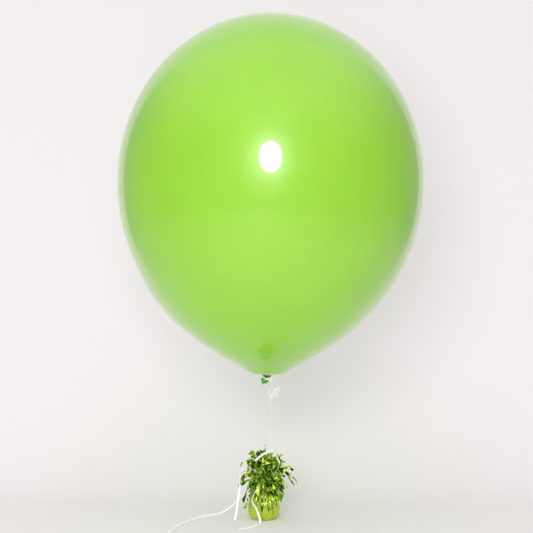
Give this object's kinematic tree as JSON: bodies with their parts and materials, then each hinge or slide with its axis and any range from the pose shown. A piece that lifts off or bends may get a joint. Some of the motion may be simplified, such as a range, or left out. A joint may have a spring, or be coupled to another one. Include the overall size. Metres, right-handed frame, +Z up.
{
  "type": "tethered latex balloon",
  "caption": "Round latex party balloon with a tied neck, on a short curling ribbon that is tied to a foil tassel weight standing on the floor.",
  "frame": {"origin": "centre of the weight's flat base, on the floor", "axes": "+Z up through the ribbon to the balloon, -Y towards the viewer, +X to the viewer's right"},
  "size_m": [0.5999, 0.6, 0.9929],
  "materials": {
    "latex_body": "gloss",
    "latex_neck": "satin",
    "latex_lip": "satin",
    "ribbon": "gloss",
    "foil_wrap": "polished",
    "tassel_foil": "polished",
    "tie_wire": "satin",
    "cup": "matte",
    "core": "matte"
  },
  "bodies": {
    "weight": {"weight_core": "core", "slug_cup": "cup", "foil_wrap": "foil_wrap", "neck_tie": "tie_wire", "tassel_bundle": "tassel_foil", "tassel_inner": "tassel_foil", "tassel_middle": "tassel_foil", "tassel_outer": "tassel_foil", "sling_ribbon": "ribbon", "front_tail": "ribbon", "side_tail": "ribbon", "floor_tail": "ribbon"},
    "foot_knot": {"sling_knot": "ribbon"},
    "tether_low": {"tether_lower": "ribbon"},
    "tether_high": {"tether_upper": "ribbon", "ribbon_bow": "ribbon"},
    "hitch": {"hitch_knot": "ribbon"},
    "balloon": {"balloon_envelope": "latex_body", "neck_knot": "latex_neck", "neck_wrap": "ribbon", "neck_tail": "latex_neck", "rolled_lip": "latex_lip"}
  },
  "joints": [
    {"name": "tether_sway_front_back", "type": "hinge", "parent": "weight", "child": "foot_knot", "pos_m": [0.0136, 0, 0.131], "axis": [1, 0, 0], "range_deg": [-25, 25], "stiffness_Nm_per_rad": 3},
    {"name": "tether_sway_side", "type": "hinge", "parent": "foot_knot", "child": "tether_low", "pos_m": [0.0136, 0, 0.131], "axis": [0, 1, 0], "range_deg": [-25, 25], "stiffness_Nm_per_rad": 3},
    {"name": "tether_twist", "type": "hinge", "parent": "tether_low", "child": "tether_high", "pos_m": [0.0136, 0, 0.19], "axis": [0, 0, 1], "range_deg": [-180, 180]},
    {"name": "balloon_nod", "type": "hinge", "parent": "tether_high", "child": "hitch", "pos_m": [0.0136, 0, 0.271], "axis": [1, 0, 0], "range_deg": [-20, 20], "stiffness_Nm_per_rad": 3},
    {"name": "balloon_lean", "type": "hinge", "parent": "hitch", "child": "balloon", "pos_m": [0.0136, 0, 0.271], "axis": [0, 1, 0], "range_deg": [-20, 20], "stiffness_Nm_per_rad": 3}
  ]
}
